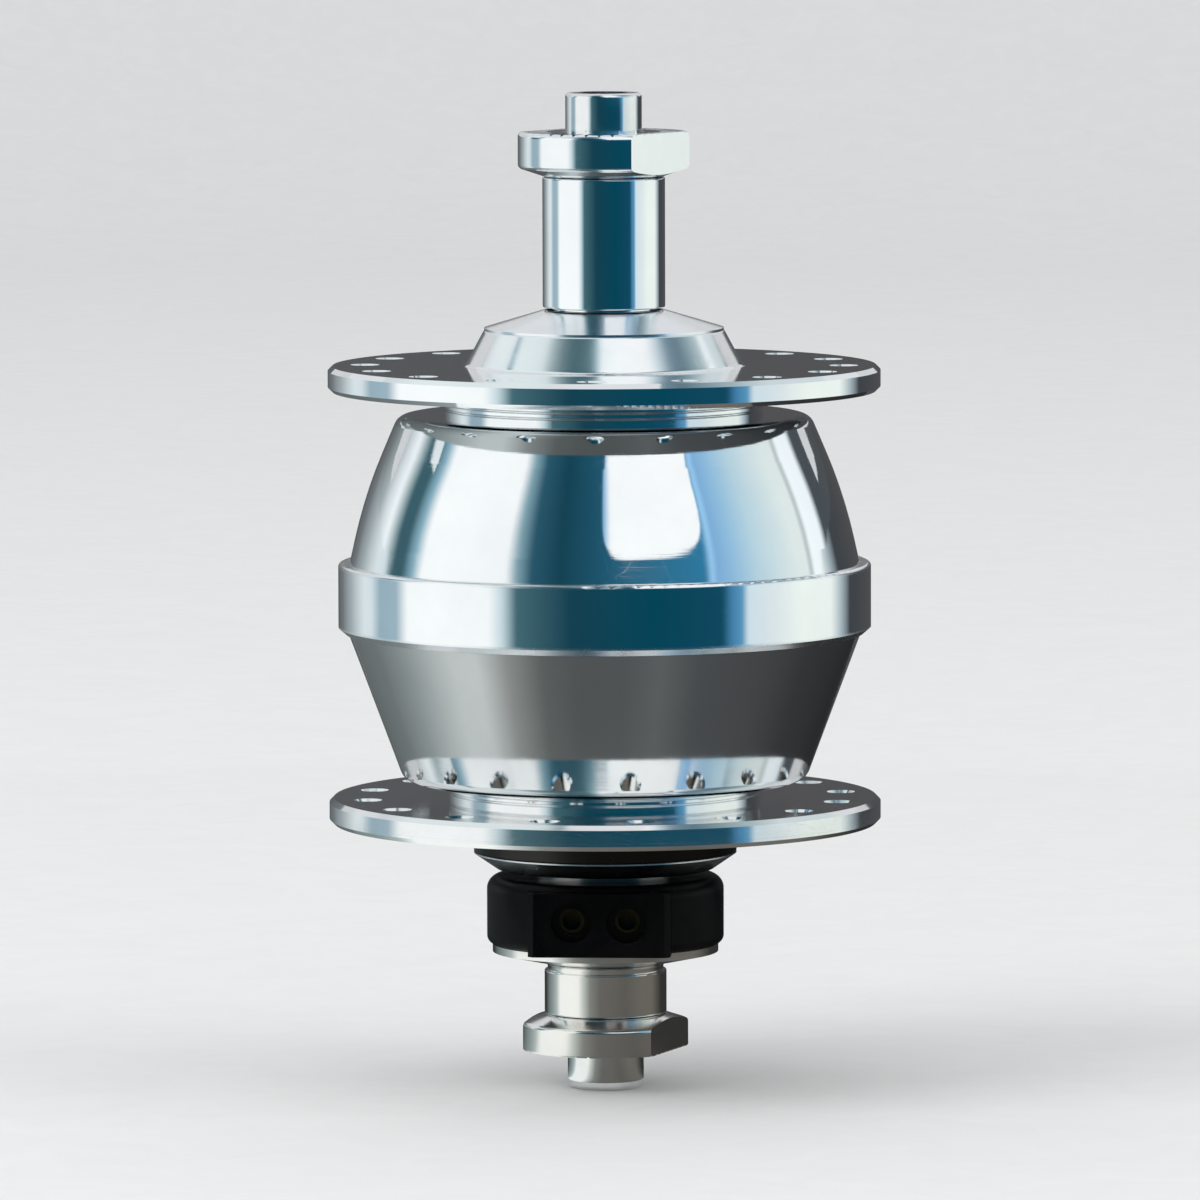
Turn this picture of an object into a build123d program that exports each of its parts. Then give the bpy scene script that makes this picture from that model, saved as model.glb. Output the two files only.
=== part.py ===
from build123d import *
import math
import os

os.makedirs("parts", exist_ok=True)

# The hub's axle lies on Z with the plain right side up. The origin is midway between the locknut
# faces, and the connector looks along -Y. Heights of the left side are negative.

# Axle: a hollow shaft for a skewer, clamped between the fork ends by its two locknuts
over_locknut = 100.0
axle_stub_length = 4.2
axle_end_round = 0.4
axle_end_step = 0.35
axle_thread_step = 0.5
axle_left_step = 1.0
axle_stator_step = 1.0
axle_shoulder_step = 1.1
skewer_bore_radius = 2.6

# Fits and gaps used all over the hub
press_gap = 0.03
slide_gap = 0.05
seal_gap = 0.15
air_gap = 0.4
overrun = 1.0

# Bearings: sealed cartridges of the same width, the left one larger to let the wires pass under it
bearing_setback = 22.5
bearing_width = 6.0
right_bearing_bore_radius = 5.0
right_bearing_outer_radius = 11.0
right_ball_count = 11
left_bearing_bore_radius = 6.0
left_bearing_outer_radius = 12.0
left_ball_count = 12
ball_radius_share = 0.2646
land_share = 0.63
cage_wall_share = 0.44
race_gap = 0.03
pocket_gap = 0.06
cage_rim = 0.3
bearing_seal_thickness = 0.5
bearing_seal_rim = 0.45
bearing_edge_round = 0.3

# Hub shell: two flanges with spoke holes, and a barrel, crowned above its belt and conical below
flange_radius = 30.0
flange_thickness = 2.75
flange_bevel = 0.5
right_flange_inset = 2.85
left_flange_inset = 2.4
spoke_rim_distance = 4.0
spoke_hole_radius = 1.3
spoke_hole_count = 16
spoke_countersink = 0.3
first_spoke_angle = -90.0
right_shoulder_width = 5.05
left_shoulder_width = 4.85
barrel_end_round = 1.6
barrel_crown_share = 0.46
barrel_crown_rise = 0.8
barrel_crown_round = 55.0
belt_radius = 28.95
belt_top_step = 1.25
belt_bottom_step = 1.1
belt_top_z = 3.2
belt_bottom_z = -4.4
belt_edge_round = 0.4
belt_lower_bevel_height = 0.65
belt_lower_bevel_width = 0.75
belt_wall = 3.45
spigot_wall = 3.5
shell_wall = 2.5
cavity_corner_inset = 3.65
cavity_taper = 1.8
bearing_shoulder_width = 1.5
bearing_shoulder_height = 1.1
register_top_z = 1.0
seam_gap = 0.05
o_ring_radius = 0.55
o_ring_z = -1.8

# Necks: the waists between the barrel and each flange, with fine turned grooves
right_neck_step = 2.2
right_neck_length = 2.6
right_groove_count = 3
left_neck_step = 2.0
left_neck_length = 1.85
left_groove_count = 2
neck_groove_radius = 0.18

# Bosses and dust caps: the collars outside each flange that hold the bearings
right_boss_wall = 2.1
right_boss_draft = 2.0
right_cap_seat = 1.0
right_cap_rim_step = 0.1
right_cap_rim_height = 0.25
right_cap_height = 2.2
right_seal_margin = 1.47
left_boss_wall = 2.3
left_boss_draft = 0.7
left_cap_seat = 0.8
left_cap_rim_height = 0.15
left_cap_height = 1.8
left_cap_bevel = 2.4
left_seal_margin = 0.57
boss_fillet = 0.5
boss_edge_bevel = 0.15
cap_lip_width = 0.3
cap_gap = 0.5
cap_skirt_wall = 0.95
cap_plate_offset = 0.2
dust_seal_height = 0.65

# Right spacer and locknuts. An angle is counted from +X towards +Y
spacer_wall = 1.65
spacer_seat_step = 0.35
spacer_edge_round = 0.2
right_nose_step = 0.7
right_cap_face_gap = 0.25
locknut_radius = 9.3
locknut_cone_height = 1.0
right_locknut_thickness = 3.9
left_locknut_thickness = 3.0
locknut_round = 0.55
left_locknut_face_round = 0.25
locknut_flat_count = 2
locknut_flat_depth = 1.8
right_locknut_flat_angle = -32.0
left_locknut_flat_angle = -19.0
serration_count = 40
serration_depth = 0.22
serration_inner_radius = 6.2

# Left spacer, sleeve and connector
left_sleeve_step = 1.6
left_cap_face_gap = 0.8
left_nose_wall = 1.4
dish_step = 0.6
dish_rim_height = 0.85
dish_cone_height = 1.3
dish_fillet = 0.6
dish_neck_step = 0.35
dish_neck_height = 0.7
housing_radius = 12.9
housing_height = 7.5
housing_top_round = 1.5
housing_bottom_round = 0.9
block_width = 15.4
block_reach = 14.0
block_drop = 0.6
block_corner_bevel = 0.6
contact_pitch = 6.0
contact_height = 3.8
contact_outer_radius = 1.6
contact_bore_radius = 1.0
contact_recess = 1.7
contact_floor = 0.6
contact_lip = 0.2
socket_mouth_depth = 1.2
socket_wall = 1.6
contact_rear_room = 2.5
chamber_margin = 0.3
chamber_roof = 0.95
chamber_end_wall = 0.1
slot_margin = 0.2

# Stator: two claw discs round a coil, with the flux carried by a tube on the axle
claw_count = 14
claw_finger_thickness = 1.5
claw_finger_share = 0.365
claw_finger_clearance = 1.2
claw_disc_thickness = 1.8
stator_length_share = 0.5116
core_wall_share = 0.2717
bobbin_wall = 1.0
bobbin_claw_gap = 0.4
winding_inset = 0.6
key_width = 2.0
key_end_gap = 1.2
key_depth = 0.8
circlip_thickness = 1.0
circlip_depth = 0.5
circlip_band = 1.8
circlip_opening = 3.2
circlip_lug_radius = 1.2
circlip_lug_hole_radius = 0.5

# Rotor: a steel ring in the shell with a band of magnets inside it
rotor_wall = 1.6
rotor_stop_height = 1.1
magnet_count = 28
magnet_thickness = 2.3
magnet_end_gap = 1.0
magnet_gap = 0.4

# Wires from the coil, in a groove of the axle, to the contacts
wire_radius = 0.5
wire_spacing = 1.2
wire_groove_margin = 0.4
wire_exit_step = 2.1
wire_straight = 4.1
wire_bearing_margin = 1.65
wire_bend_radius = 3.8
wire_turn_radius = 1.8
wire_end_radius = 1.2
wire_end_run = 1.2
wire_drop = 1.2
wire_window_side = 0.3
wire_window_margin = 0.4

# Heights that follow from the sizes above
locknut_face_z = over_locknut / 2
axle_end_z = locknut_face_z + axle_stub_length
bearing_outer_z = locknut_face_z - bearing_setback
bearing_inset = bearing_outer_z - bearing_width
bearing_middle_z = bearing_inset + bearing_width / 2
right_flange_reach = bearing_outer_z - right_flange_inset
left_flange_reach = bearing_outer_z - left_flange_inset
right_flange_inner_z = right_flange_reach - flange_thickness
left_flange_inner_z = left_flange_reach - flange_thickness
right_shoulder_z = right_flange_inner_z - right_neck_length
left_shoulder_z = left_flange_inner_z - left_neck_length
barrel_crown_z = belt_top_z + barrel_crown_share * (right_shoulder_z - belt_top_z)
right_boss_z = bearing_outer_z + right_cap_seat
left_boss_z = bearing_outer_z + left_cap_seat
right_nut_z = locknut_face_z - right_locknut_thickness
left_nut_z = locknut_face_z - left_locknut_thickness
right_nut_seat_z = right_nut_z - locknut_cone_height
left_nut_seat_z = left_nut_z - locknut_cone_height
housing_top_z = -(left_boss_z + left_cap_height + left_cap_face_gap)
housing_bottom_z = housing_top_z - housing_height
contact_z = housing_bottom_z + contact_height
block_height = housing_height - block_drop
chamber_height = block_height - 2 * chamber_roof
stator_half_length = stator_length_share * bearing_inset
stator_disc_z = stator_half_length - claw_disc_thickness
rotor_half_length = stator_half_length
seal_seat_depth = bearing_seal_thickness + 2 * slide_gap

# Radii and places off the axis that follow from the sizes above, from the bearings outwards
axle_thread_radius = right_bearing_bore_radius - axle_thread_step
axle_end_radius = axle_thread_radius - axle_end_step
axle_shoulder_radius = right_bearing_bore_radius + axle_shoulder_step
axle_left_radius = left_bearing_bore_radius - axle_left_step
axle_stator_radius = left_bearing_bore_radius + axle_stator_step
wire_groove_floor = axle_left_radius - 2 * (wire_radius + slide_gap)
spacer_radius = axle_left_radius + spacer_wall
locknut_seat_radius = spacer_radius - spacer_seat_step
right_spacer_nose_radius = right_bearing_bore_radius + right_nose_step
left_spacer_nose_radius = axle_left_radius + left_nose_wall
left_sleeve_radius = left_bearing_bore_radius + left_sleeve_step
dish_radius = housing_radius - dish_step
contact_rear = left_spacer_nose_radius + contact_rear_room
contact_length = block_reach - contact_recess - contact_rear
socket_mouth_radius = (contact_pitch - socket_wall) / 2
right_boss_end_radius = right_bearing_outer_radius + right_boss_wall
right_boss_root_radius = right_boss_end_radius + right_boss_draft
right_neck_radius = right_boss_root_radius + right_neck_step
right_barrel_end_radius = right_neck_radius + right_shoulder_width
right_barrel_radius = belt_radius - belt_top_step
right_barrel_taper = right_barrel_radius - right_barrel_end_radius
barrel_crown_radius = right_barrel_radius - barrel_crown_share * right_barrel_taper + barrel_crown_rise
left_boss_end_radius = left_bearing_outer_radius + left_boss_wall
left_boss_root_radius = left_boss_end_radius + left_boss_draft
left_neck_radius = left_boss_root_radius + left_neck_step
left_barrel_end_radius = left_neck_radius + left_shoulder_width
spoke_circle_radius = flange_radius - spoke_rim_distance
register_radius = belt_radius - belt_wall
rotor_radius = register_radius - spigot_wall
magnet_radius = rotor_radius - rotor_wall
claw_radius = magnet_radius - magnet_thickness - air_gap
claw_ring_inner = claw_radius - claw_finger_thickness
bobbin_flange_radius = claw_ring_inner - bobbin_claw_gap
core_radius = axle_stator_radius + core_wall_share * (claw_ring_inner - axle_stator_radius)
wire_exit_radius = core_radius + wire_exit_step


def turn(*corners, mode=Mode.ADD):
    """Revolve a half section round the axle. A corner is (radius, height) or (radius, height, round)."""
    points = [corner[:2] for corner in corners]
    rounds = [corner[2] if len(corner) > 2 else 0 for corner in corners]
    with BuildSketch(Plane.XZ) as section:
        with BuildLine():
            FilletPolyline(*points, radius=rounds, close=True)
        make_face()
    revolve(section.sketch, axis=Axis.Z, mode=mode)


def ring(inner_radius, outer_radius, low_z, high_z, mode=Mode.ADD):
    """Turn a plain ring."""
    turn(
        (inner_radius, low_z),
        (outer_radius, low_z),
        (outer_radius, high_z),
        (inner_radius, high_z),
        mode=mode,
    )


def cut_spoke_holes(outer_z, start_angle):
    """Drill a flange for its spokes and countersink both mouths of each hole."""
    with BuildSketch(Plane.XY.offset(outer_z)) as holes:
        with PolarLocations(spoke_circle_radius, spoke_hole_count, start_angle):
            Circle(spoke_hole_radius)
    extrude(holes.sketch, amount=flange_thickness + overrun, both=True, mode=Mode.SUBTRACT)


def cut_neck_grooves(neck_radius, flange_z, shoulder_z, groove_count):
    """Turn the fine grooves, evenly spaced along a neck."""
    step = (shoulder_z - flange_z) / (groove_count + 1)
    with Locations(*[(0, 0, flange_z + step * (number + 1)) for number in range(groove_count)]):
        Torus(neck_radius, neck_groove_radius, mode=Mode.SUBTRACT)


# Axle: turned steel, with a bearing seat each side, a keyway for the stator and a groove for the wires
with BuildPart() as axle:
    turn(
        (skewer_bore_radius, axle_end_z),
        (axle_end_radius, axle_end_z, axle_end_round),
        (axle_end_radius, locknut_face_z),
        (axle_thread_radius, locknut_face_z),
        (axle_thread_radius, bearing_outer_z - seal_gap),
        (right_bearing_bore_radius - press_gap, bearing_outer_z - seal_gap),
        (right_bearing_bore_radius - press_gap, bearing_inset),
        (axle_shoulder_radius, bearing_inset),
        (axle_shoulder_radius, stator_half_length + 2 * circlip_thickness),
        (axle_stator_radius, stator_half_length + 2 * circlip_thickness),
        (axle_stator_radius, -bearing_inset),
        (left_bearing_bore_radius - press_gap, -bearing_inset),
        (left_bearing_bore_radius - press_gap, -bearing_outer_z + seal_gap),
        (axle_left_radius, -bearing_outer_z + seal_gap),
        (axle_left_radius, -left_nut_seat_z),
        (axle_thread_radius, -left_nut_seat_z),
        (axle_thread_radius, -locknut_face_z),
        (axle_end_radius, -locknut_face_z),
        (axle_end_radius, -axle_end_z, axle_end_round),
        (skewer_bore_radius, -axle_end_z),
    )
    for side_sign in (1, -1):
        ring(
            axle_stator_radius - circlip_depth,
            axle_stator_radius + overrun,
            side_sign * (stator_half_length + slide_gap),
            side_sign * (stator_half_length + circlip_thickness + 3 * slide_gap),
            mode=Mode.SUBTRACT,
        )
    wire_groove_top_z = -(stator_half_length + wire_straight - claw_disc_thickness)
    with BuildSketch(Plane.XY.offset(wire_groove_top_z)):
        with Locations((0, -wire_groove_floor)):
            Rectangle(
                wire_spacing + 2 * (wire_radius + wire_groove_margin),
                axle_stator_radius,
                align=(Align.CENTER, Align.MAX),
            )
    extrude(amount=wire_groove_top_z - contact_z + chamber_height / 2, dir=(0, 0, -1), mode=Mode.SUBTRACT)
    key_length = 2 * (stator_disc_z - key_end_gap)
    with Locations((0, axle_stator_radius - key_depth, 0)):
        Box(
            key_width,
            axle_stator_radius,
            key_length,
            align=(Align.CENTER, Align.MIN, Align.CENTER),
            mode=Mode.SUBTRACT,
        )
axle.part.label = "axle"
export_step(axle.part, "parts/axle.step")

# Right spacer: a polished sleeve whose nose reaches through the dust cap to the bearing
with BuildPart() as right_spacer:
    right_collar_z = right_boss_z + right_cap_height + right_cap_face_gap
    turn(
        (axle_thread_radius + slide_gap, bearing_outer_z),
        (right_spacer_nose_radius, bearing_outer_z),
        (right_spacer_nose_radius, right_collar_z),
        (spacer_radius, right_collar_z, spacer_edge_round),
        (spacer_radius, right_nut_seat_z, spacer_edge_round),
        (axle_thread_radius + slide_gap, right_nut_seat_z),
    )
right_spacer.part.label = "right_spacer"
export_step(right_spacer.part, "parts/right_spacer.step")

# Locknuts: round nuts with two spanner flats, coned inside, and serrated outside to bite on the fork
locknuts = (
    ("right_locknut", 1, right_locknut_thickness, locknut_round, right_locknut_flat_angle),
    ("left_locknut", -1, left_locknut_thickness, left_locknut_face_round, left_locknut_flat_angle),
)
for nut_name, side_sign, nut_thickness, face_round, flat_angle in locknuts:
    with BuildPart() as locknut:
        face_z = side_sign * locknut_face_z
        inner_z = side_sign * (locknut_face_z - nut_thickness)
        seat_z = inner_z - side_sign * locknut_cone_height
        turn(
            (axle_thread_radius + press_gap, seat_z),
            (locknut_seat_radius, seat_z),
            (locknut_radius, inner_z, locknut_round),
            (locknut_radius, face_z, face_round),
            (axle_thread_radius + press_gap, face_z),
        )
        serration_side = serration_depth * 2**0.5
        serration_reach = locknut_radius + overrun - serration_inner_radius
        with Locations((0, 0, face_z)):
            with PolarLocations(serration_inner_radius, serration_count):
                Box(
                    serration_reach,
                    serration_side,
                    serration_side,
                    rotation=(45, 0, 0),
                    align=(Align.MIN, Align.CENTER, Align.CENTER),
                    mode=Mode.SUBTRACT,
                )
        with Locations((0, 0, (face_z + inner_z) / 2)):
            with PolarLocations(locknut_radius - locknut_flat_depth, locknut_flat_count, flat_angle):
                Box(
                    locknut_flat_depth + overrun,
                    2 * locknut_radius,
                    nut_thickness + 2 * locknut_cone_height,
                    align=(Align.MIN, Align.CENTER, Align.CENTER),
                    mode=Mode.SUBTRACT,
                )
    locknut.part.label = nut_name
    export_step(locknut.part, f"parts/{nut_name}.step")

# Left sleeve: a short ring that passes the clamping force on to the left bearing
with BuildPart() as left_sleeve:
    ring(axle_left_radius + slide_gap, left_sleeve_radius, -bearing_outer_z, housing_top_z)
left_sleeve.part.label = "left_sleeve"
export_step(left_sleeve.part, "parts/left_sleeve.step")

# Left spacer: a nose through the connector, a dish under it and a short collar down to the locknut
with BuildPart() as left_spacer:
    dish_neck_z = housing_bottom_z - dish_rim_height - dish_cone_height
    collar_top_z = dish_neck_z - dish_neck_height
    turn(
        (axle_left_radius + slide_gap, housing_top_z),
        (left_spacer_nose_radius, housing_top_z),
        (left_spacer_nose_radius, housing_bottom_z),
        (dish_radius, housing_bottom_z),
        (dish_radius, housing_bottom_z - dish_rim_height),
        (spacer_radius - dish_neck_step, dish_neck_z, dish_fillet),
        (spacer_radius - dish_neck_step, collar_top_z),
        (spacer_radius, collar_top_z, spacer_edge_round),
        (spacer_radius, -left_nut_seat_z, spacer_edge_round),
        (axle_left_radius + slide_gap, -left_nut_seat_z),
    )
    with Locations((0, 0, contact_z)):
        Box(
            contact_pitch - slot_margin,
            left_spacer_nose_radius + overrun,
            chamber_height,
            align=(Align.CENTER, Align.MAX, Align.CENTER),
            mode=Mode.SUBTRACT,
        )
left_spacer.part.label = "left_spacer"
export_step(left_spacer.part, "parts/left_spacer.step")

# Connector housing: a moulded ring with a square front block, hollow behind the two stepped sockets
with BuildPart() as connector_housing:
    turn(
        (left_spacer_nose_radius + slide_gap, housing_top_z),
        (housing_radius, housing_top_z, housing_top_round),
        (housing_radius, housing_bottom_z, housing_bottom_round),
        (left_spacer_nose_radius + slide_gap, housing_bottom_z),
    )
    with BuildSketch(Plane.XY.offset(housing_bottom_z)) as block_plan:
        with Locations((0, -left_spacer_nose_radius - slide_gap)):
            Rectangle(
                block_width,
                block_reach - left_spacer_nose_radius - slide_gap,
                align=(Align.CENTER, Align.MAX),
            )
        chamfer(block_plan.vertices().group_by(Axis.Y)[0], block_corner_bevel)
    extrude(amount=block_height)
    with Locations((0, -contact_rear - chamber_end_wall, contact_z)):
        Box(
            contact_pitch + 2 * (contact_outer_radius + chamber_margin),
            contact_rear,
            chamber_height,
            align=(Align.CENTER, Align.MIN, Align.CENTER),
            mode=Mode.SUBTRACT,
        )
    socket_steps = (
        (contact_rear, contact_outer_radius + press_gap, contact_length),
        (contact_rear, contact_outer_radius - contact_lip, contact_length + contact_recess + overrun),
        (block_reach - socket_mouth_depth, socket_mouth_radius, socket_mouth_depth + overrun),
    )
    for step_start, step_radius, step_depth in socket_steps:
        with BuildSketch(Plane.XZ.offset(step_start)):
            with Locations((-contact_pitch / 2, contact_z), (contact_pitch / 2, contact_z)):
                Circle(step_radius)
        extrude(amount=step_depth, mode=Mode.SUBTRACT)
connector_housing.part.label = "connector_housing"
export_step(connector_housing.part, "parts/connector_housing.step")

# Contact sockets: two brass tubes behind the mouths, closed at the back where the wires are soldered on
with BuildPart() as contact_sockets:
    with BuildSketch(Plane.XZ.offset(contact_rear)):
        with Locations((-contact_pitch / 2, contact_z), (contact_pitch / 2, contact_z)):
            Circle(contact_outer_radius)
    extrude(amount=contact_length)
    with BuildSketch(Plane.XZ.offset(contact_rear + contact_floor)):
        with Locations((-contact_pitch / 2, contact_z), (contact_pitch / 2, contact_z)):
            Circle(contact_bore_radius)
    extrude(amount=contact_length, mode=Mode.SUBTRACT)
contact_sockets.part.label = "contact_sockets"
export_step(contact_sockets.part, "parts/contact_sockets.step")

# Lead wires: down from the coil, inwards to the axle's groove, under the bearing and out to the contacts
with BuildPart() as lead_wires:
    wire_depth = wire_groove_floor + wire_radius + slide_gap
    wire_start_z = -stator_disc_z + slide_gap
    slant_top_z = wire_start_z - wire_straight
    for side_sign in (-1, 1):
        groove_x = side_sign * wire_spacing / 2
        contact_x = side_sign * contact_pitch / 2
        with BuildLine() as wire_route:
            FilletPolyline(
                (groove_x, -wire_exit_radius, wire_start_z),
                (groove_x, -wire_exit_radius, slant_top_z),
                (groove_x, -wire_depth, wire_bearing_margin - bearing_inset),
                (groove_x, -wire_depth, contact_z + wire_drop),
                (contact_x, wire_end_run - contact_rear, contact_z),
                (contact_x, -contact_rear, contact_z),
                radius=[wire_bend_radius, wire_bend_radius, wire_turn_radius, wire_end_radius],
            )
        with BuildSketch(Plane(origin=wire_route.line @ 0, z_dir=wire_route.line % 0)):
            Circle(wire_radius)
        sweep()
lead_wires.part.label = "lead_wires"
export_step(lead_wires.part, "parts/lead_wires.step")

# Stator core: an iron tube keyed to the axle
with BuildPart() as stator_core:
    ring(axle_stator_radius + press_gap, core_radius, -stator_disc_z, stator_disc_z)
    with Locations((0, axle_stator_radius - key_depth, 0)):
        Box(
            key_width,
            2 * key_depth + slide_gap,
            key_length,
            align=(Align.CENTER, Align.MIN, Align.CENTER),
            mode=Mode.SUBTRACT,
        )
stator_core.part.label = "stator_core"
export_step(stator_core.part, "parts/stator_core.step")

# Stator key: a steel bar half in the axle and half in the core
with BuildPart() as stator_key:
    with Locations((0, axle_stator_radius - key_depth + slide_gap, 0)):
        Box(
            key_width - 2 * press_gap,
            2 * key_depth - slide_gap,
            key_length - 2 * press_gap,
            align=(Align.CENTER, Align.MIN, Align.CENTER),
        )
stator_key.part.label = "stator_key"
export_step(stator_key.part, "parts/stator_key.step")

# Claw discs: pressed iron, their fingers reach past the coil from both ends and lie in one ring
claw_gap_width = (1 - claw_finger_share) * 2 * math.pi * claw_radius / claw_count
for side_name, side_sign, first_angle in (("right", 1, 0.0), ("left", -1, 180.0 / claw_count)):
    with BuildPart() as stator_claw:
        ring(
            axle_stator_radius + press_gap,
            claw_radius,
            side_sign * stator_disc_z,
            side_sign * stator_half_length,
        )
        with BuildSketch(Plane.XY.offset(side_sign * stator_disc_z)):
            Circle(claw_radius)
            Circle(claw_ring_inner, mode=Mode.SUBTRACT)
            with PolarLocations(claw_radius, claw_count, first_angle):
                Rectangle(2 * claw_finger_thickness + overrun, claw_gap_width, mode=Mode.SUBTRACT)
        extrude(amount=2 * stator_disc_z - claw_finger_clearance, dir=(0, 0, -side_sign))
        if side_sign < 0:
            with Locations((0, -wire_exit_radius, -stator_disc_z)):
                Box(
                    wire_spacing + 2 * (wire_radius + wire_window_side),
                    2 * (wire_radius + wire_window_margin),
                    2 * claw_disc_thickness + overrun,
                    mode=Mode.SUBTRACT,
                )
    stator_claw.part.label = f"stator_claw_{side_name}"
    export_step(stator_claw.part, f"parts/stator_claw_{side_name}.step")

# Coil bobbin: a moulded reel between the claw discs
bobbin_end_z = stator_disc_z - slide_gap
with BuildPart() as coil_bobbin:
    bobbin_inner_radius = core_radius + slide_gap
    bobbin_hub_radius = bobbin_inner_radius + bobbin_wall
    bobbin_inner_z = bobbin_end_z - bobbin_wall
    turn(
        (bobbin_inner_radius, bobbin_end_z),
        (bobbin_flange_radius, bobbin_end_z),
        (bobbin_flange_radius, bobbin_inner_z),
        (bobbin_hub_radius, bobbin_inner_z),
        (bobbin_hub_radius, -bobbin_inner_z),
        (bobbin_flange_radius, -bobbin_inner_z),
        (bobbin_flange_radius, -bobbin_end_z),
        (bobbin_inner_radius, -bobbin_end_z),
    )
coil_bobbin.part.label = "coil_bobbin"
export_step(coil_bobbin.part, "parts/coil_bobbin.step")

# Coil winding: enamelled copper wire, potted into one ring that fills the bobbin
with BuildPart() as coil_winding:
    ring(
        bobbin_hub_radius + slide_gap,
        bobbin_flange_radius - winding_inset,
        slide_gap - bobbin_inner_z,
        bobbin_inner_z - slide_gap,
    )
coil_winding.part.label = "coil_winding"
export_step(coil_winding.part, "parts/coil_winding.step")

# Circlips: open snap rings in the axle's grooves, one outside each claw disc
with BuildPart() as stator_circlips:
    circlip_inner = axle_stator_radius - circlip_depth + press_gap
    circlip_outer = axle_stator_radius + circlip_band - circlip_depth
    circlip_low_z = stator_half_length + 2 * slide_gap
    for side_sign in (1, -1):
        with BuildSketch(Plane.XY.offset(side_sign * circlip_low_z)):
            Circle(circlip_outer)
            with Locations(
                (-circlip_opening / 2 - circlip_lug_radius, -circlip_outer),
                (circlip_opening / 2 + circlip_lug_radius, -circlip_outer),
            ):
                Circle(circlip_lug_radius)
                Circle(circlip_lug_hole_radius, mode=Mode.SUBTRACT)
            Circle(circlip_inner, mode=Mode.SUBTRACT)
            with Locations((0, -circlip_inner)):
                Rectangle(circlip_opening, 2 * circlip_inner, mode=Mode.SUBTRACT)
        extrude(amount=circlip_thickness, dir=(0, 0, side_sign))
stator_circlips.part.label = "stator_circlips"
export_step(stator_circlips.part, "parts/stator_circlips.step")

# Right shell half: the right flange, the crowned upper barrel, the belt and the bearing seat
with BuildPart() as hub_shell_right:
    cavity_corner_z = right_shoulder_z - shell_wall
    turn(
        (right_bearing_outer_radius + press_gap, right_boss_z),
        (right_boss_end_radius - boss_edge_bevel, right_boss_z),
        (right_boss_end_radius, right_boss_z - boss_edge_bevel),
        (right_boss_root_radius, right_flange_reach, boss_fillet),
        (flange_radius - flange_bevel, right_flange_reach),
        (flange_radius, right_flange_reach - flange_bevel),
        (flange_radius, right_flange_inner_z + flange_bevel),
        (flange_radius - flange_bevel, right_flange_inner_z),
        (right_neck_radius, right_flange_inner_z),
        (right_neck_radius, right_shoulder_z),
        (right_barrel_end_radius, right_shoulder_z, barrel_end_round),
        (barrel_crown_radius, barrel_crown_z, barrel_crown_round),
        (right_barrel_radius, belt_top_z),
        (belt_radius, belt_top_z, belt_edge_round),
        (belt_radius, belt_bottom_z + belt_lower_bevel_height),
        (belt_radius - belt_lower_bevel_width, belt_bottom_z),
        (register_radius, belt_bottom_z),
        (register_radius, register_top_z),
        (rotor_radius + press_gap, register_top_z),
        (rotor_radius + press_gap, rotor_half_length + slide_gap),
        (rotor_radius - rotor_stop_height, rotor_half_length + slide_gap),
        (right_barrel_end_radius - cavity_corner_inset, cavity_corner_z),
        (right_neck_radius - shell_wall, cavity_corner_z + cavity_taper),
        (right_neck_radius - shell_wall, bearing_inset - bearing_shoulder_width),
        (right_bearing_outer_radius - bearing_shoulder_height, bearing_inset - bearing_shoulder_width),
        (right_bearing_outer_radius - bearing_shoulder_height, bearing_inset),
        (right_bearing_outer_radius + press_gap, bearing_inset),
    )
    cut_neck_grooves(right_neck_radius, right_flange_inner_z, right_shoulder_z, right_groove_count)
    cut_spoke_holes(right_flange_reach, first_spoke_angle)
    chamfer(hub_shell_right.edges(Select.LAST).filter_by(GeomType.CIRCLE), spoke_countersink)
hub_shell_right.part.label = "hub_shell_right"
export_step(hub_shell_right.part, "parts/hub_shell_right.step")

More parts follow.
